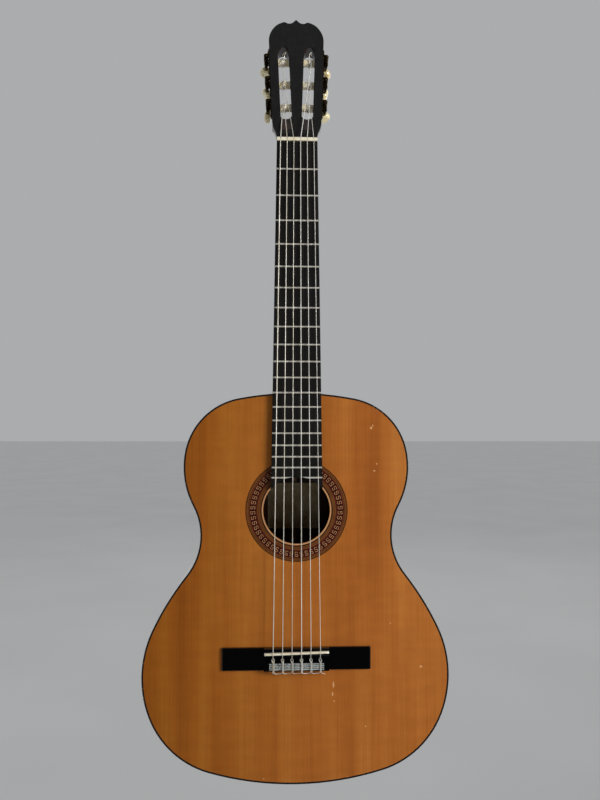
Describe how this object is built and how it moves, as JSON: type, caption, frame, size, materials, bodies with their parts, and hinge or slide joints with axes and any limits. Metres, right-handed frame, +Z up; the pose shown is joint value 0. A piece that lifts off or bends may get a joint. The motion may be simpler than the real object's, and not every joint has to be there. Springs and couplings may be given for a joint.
{
  "type": "classical guitar",
  "caption": "Nylon-strung classical guitar with a slotted head, tied bridge, inlaid rosette and worm-geared tuning machines.",
  "frame": {"origin": "on the centre line where the fingerboard meets the nut, in the plane of the soundboard and of the glue joint under the fingerboard, where the arms of a hanger carry the neck", "axes": "+Z up the strings towards the head, +X towards the treble side, +Y from the front to the back"},
  "size_m": [0.3896, 0.114, 1.0036],
  "materials": {
    "top_wood": "glossy amber-varnished spruce with fine vertical grain",
    "rosette_inlay": "polished wood mosaic under varnish",
    "body_wood": "glossy dark reddish-brown hardwood",
    "strip_wood": "pale strip under varnish",
    "binding_black": "polished black edge binding",
    "inner_wood": "bare planed softwood",
    "label_paper": "aged blank paper",
    "neck_wood": "satin reddish-brown hardwood",
    "veneer_black": "satin black-stained veneer",
    "board_wood": "black-stained hardwood, oiled",
    "fret_metal": "polished nickel silver",
    "bone": "polished ivory-coloured bone",
    "bridge_wood": "black-stained hardwood, glossy",
    "pearl": "polished silver-grey pearl",
    "nylon": "clear nylon",
    "wound_metal": "silver-plated wire wound on nylon",
    "plate_metal": "aged brass",
    "gear_metal": "aged brass",
    "worm_metal": "aged brass",
    "screw_metal": "dark plated steel",
    "roller_plastic": "ivory plastic",
    "button_plastic": "cream pearl plastic"
  },
  "bodies": {
    "root": {"soundboard": "top_wood", "rosette": "rosette_inlay", "rib_bass": "body_wood", "rib_treble": "body_wood", "back_bass_half": "body_wood", "back_treble_half": "body_wood", "back_strip": "strip_wood", "top_binding": "binding_black", "back_binding": "binding_black", "neck_block": "inner_wood", "tail_block": "inner_wood", "linings": "inner_wood", "fan_braces": "inner_wood", "harmonic_bars": "inner_wood", "back_braces": "inner_wood", "label": "label_paper", "neck": "neck_wood", "head_veneer": "veneer_black", "heel_cap": "veneer_black", "fingerboard": "board_wood", "frets": "fret_metal", "nut": "bone", "bridge": "bridge_wood", "saddle": "bone", "tie_block_inlay": "pearl", "tuner_plate_bass": "plate_metal", "tuner_plate_treble": "plate_metal", "plate_screws": "screw_metal", "string_1": "nylon", "string_2": "nylon", "string_3": "nylon", "string_4": "wound_metal", "string_5": "wound_metal", "string_6": "wound_metal"},
    "tuner_1_knob": {"worm_1": "worm_metal", "button_1": "button_plastic"},
    "tuner_1_roller": {"roller_1": "roller_plastic", "gear_1": "gear_metal"},
    "tuner_2_knob": {"worm_2": "worm_metal", "button_2": "button_plastic"},
    "tuner_2_roller": {"roller_2": "roller_plastic", "gear_2": "gear_metal"},
    "tuner_3_knob": {"worm_3": "worm_metal", "button_3": "button_plastic"},
    "tuner_3_roller": {"roller_3": "roller_plastic", "gear_3": "gear_metal"},
    "tuner_4_knob": {"worm_4": "worm_metal", "button_4": "button_plastic"},
    "tuner_4_roller": {"roller_4": "roller_plastic", "gear_4": "gear_metal"},
    "tuner_5_knob": {"worm_5": "worm_metal", "button_5": "button_plastic"},
    "tuner_5_roller": {"roller_5": "roller_plastic", "gear_5": "gear_metal"},
    "tuner_6_knob": {"worm_6": "worm_metal", "button_6": "button_plastic"},
    "tuner_6_roller": {"roller_6": "roller_plastic", "gear_6": "gear_metal"}
  },
  "joints": [
    {"name": "knob_1_turn", "type": "hinge", "parent": "root", "child": "tuner_1_knob", "pos_m": [0.03806, 0.02053, 0.06104], "axis": [0, -0.9781, 0.2079], "continuous": true},
    {"name": "roller_1_turn", "type": "hinge", "parent": "root", "child": "tuner_1_roller", "pos_m": [0.03327, 0.01899, 0.05376], "axis": [0.9993, -0.008, -0.0375], "continuous": true},
    {"name": "knob_2_turn", "type": "hinge", "parent": "root", "child": "tuner_2_knob", "pos_m": [0.03941, 0.02781, 0.09525], "axis": [0, -0.9781, 0.2079], "continuous": true},
    {"name": "roller_2_turn", "type": "hinge", "parent": "root", "child": "tuner_2_roller", "pos_m": [0.03462, 0.02626, 0.08797], "axis": [0.9993, -0.008, -0.0375], "continuous": true},
    {"name": "knob_3_turn", "type": "hinge", "parent": "root", "child": "tuner_3_knob", "pos_m": [0.04075, 0.03508, 0.12946], "axis": [0, -0.9781, 0.2079], "continuous": true},
    {"name": "roller_3_turn", "type": "hinge", "parent": "root", "child": "tuner_3_roller", "pos_m": [0.03596, 0.03353, 0.12218], "axis": [0.9993, -0.008, -0.0375], "continuous": true},
    {"name": "knob_4_turn", "type": "hinge", "parent": "root", "child": "tuner_4_knob", "pos_m": [-0.04075, 0.03508, 0.12946], "axis": [0, -0.9781, 0.2079], "continuous": true},
    {"name": "roller_4_turn", "type": "hinge", "parent": "root", "child": "tuner_4_roller", "pos_m": [-0.03596, 0.03353, 0.12218], "axis": [-0.9993, -0.008, -0.0375], "continuous": true},
    {"name": "knob_5_turn", "type": "hinge", "parent": "root", "child": "tuner_5_knob", "pos_m": [-0.03941, 0.02781, 0.09525], "axis": [0, -0.9781, 0.2079], "continuous": true},
    {"name": "roller_5_turn", "type": "hinge", "parent": "root", "child": "tuner_5_roller", "pos_m": [-0.03462, 0.02626, 0.08797], "axis": [-0.9993, -0.008, -0.0375], "continuous": true},
    {"name": "knob_6_turn", "type": "hinge", "parent": "root", "child": "tuner_6_knob", "pos_m": [-0.03806, 0.02053, 0.06104], "axis": [0, -0.9781, 0.2079], "continuous": true},
    {"name": "roller_6_turn", "type": "hinge", "parent": "root", "child": "tuner_6_roller", "pos_m": [-0.03327, 0.01899, 0.05376], "axis": [-0.9993, -0.008, -0.0375], "continuous": true}
  ],
  "couplings": [
    {"joint": "roller_1_turn", "follows": "knob_1_turn", "ratio": -0.071429},
    {"joint": "roller_2_turn", "follows": "knob_2_turn", "ratio": -0.071429},
    {"joint": "roller_3_turn", "follows": "knob_3_turn", "ratio": -0.071429},
    {"joint": "roller_4_turn", "follows": "knob_4_turn", "ratio": -0.071429},
    {"joint": "roller_5_turn", "follows": "knob_5_turn", "ratio": -0.071429},
    {"joint": "roller_6_turn", "follows": "knob_6_turn", "ratio": -0.071429}
  ]
}
